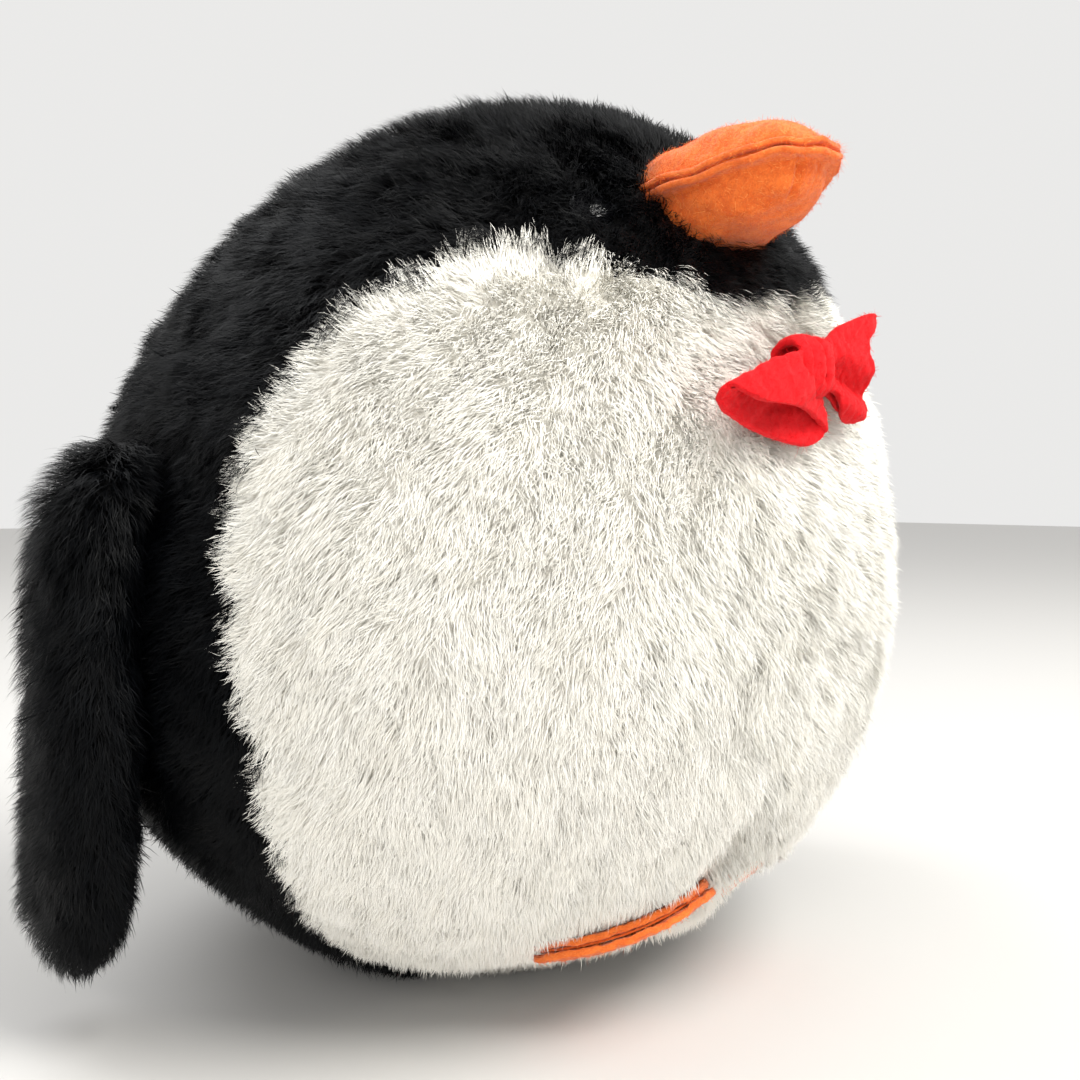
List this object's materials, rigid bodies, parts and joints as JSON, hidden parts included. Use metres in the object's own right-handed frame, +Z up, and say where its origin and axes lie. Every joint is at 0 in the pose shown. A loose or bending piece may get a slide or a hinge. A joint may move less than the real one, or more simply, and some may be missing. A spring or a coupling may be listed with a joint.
{
  "type": "plush penguin toy",
  "caption": "Round stuffed plush penguin with long pile, white belly, black back, floppy stuffed wings, stuffed felt beak, felt bow and felt feet.",
  "frame": {"origin": "centre of the flat underside that the penguin sits on", "axes": "+Z up, the penguin faces -Y, its right side is -X"},
  "size_m": [0.1938, 0.1754, 0.1732],
  "materials": {
    "black_plush": "long pile plush",
    "white_plush": "long pile plush",
    "orange_felt": "matte felt",
    "red_felt": "matte felt",
    "white_thread": "matte",
    "orange_thread": "matte",
    "red_thread": "matte",
    "fibre_fill": "matte fluffy",
    "eye_bead": "gloss",
    "washer_plastic": "matte"
  },
  "bodies": {
    "body": {"belly_left": "white_plush", "belly_right": "white_plush", "back_left": "black_plush", "back_right": "black_plush", "body_stuffing": "fibre_fill", "closing_seam_thread": "white_thread", "beak_upper": "orange_felt", "beak_lower_left": "orange_felt", "beak_lower_right": "orange_felt", "beak_stuffing": "fibre_fill", "beak_seam_thread": "orange_thread", "eye_left": "eye_bead", "eye_right": "eye_bead", "eye_washer_left": "washer_plastic", "eye_washer_right": "washer_plastic", "bow_loop_left": "red_felt", "bow_loop_right": "red_felt", "bow_knot": "red_felt", "bow_thread": "red_thread"},
    "wing_left": {"wing_left_outer": "black_plush", "wing_left_inner": "black_plush", "wing_left_stuffing": "fibre_fill"},
    "wing_right": {"wing_right_outer": "black_plush", "wing_right_inner": "black_plush", "wing_right_stuffing": "fibre_fill"},
    "foot_left": {"foot_left_top": "orange_felt", "foot_left_sole": "orange_felt", "foot_left_thread": "orange_thread"},
    "foot_right": {"foot_right_top": "orange_felt", "foot_right_sole": "orange_felt", "foot_right_thread": "orange_thread"}
  },
  "joints": [
    {"name": "wing_left_lift", "type": "hinge", "parent": "body", "child": "wing_left", "pos_m": [0.08, -0.0053, 0.106], "axis": [0, -1, 0], "range_deg": [0, 80], "stiffness_Nm_per_rad": 0.01, "springref_deg": -17.19},
    {"name": "wing_right_lift", "type": "hinge", "parent": "body", "child": "wing_right", "pos_m": [-0.08, -0.0053, 0.106], "axis": [0, 1, 0], "range_deg": [0, 80], "stiffness_Nm_per_rad": 0.01, "springref_deg": -17.19},
    {"name": "foot_left_flex", "type": "hinge", "parent": "body", "child": "foot_left", "pos_m": [0.01766, -0.04504, 0.0166], "axis": [0.7614, 0.5883, -0.2724], "range_deg": [0, 30], "stiffness_Nm_per_rad": 0.004, "springref_deg": -20.05},
    {"name": "foot_right_flex", "type": "hinge", "parent": "body", "child": "foot_right", "pos_m": [-0.0076, -0.0477, 0.0166], "axis": [0.867, -0.4171, 0.2726], "range_deg": [0, 30], "stiffness_Nm_per_rad": 0.004, "springref_deg": -20.05}
  ]
}
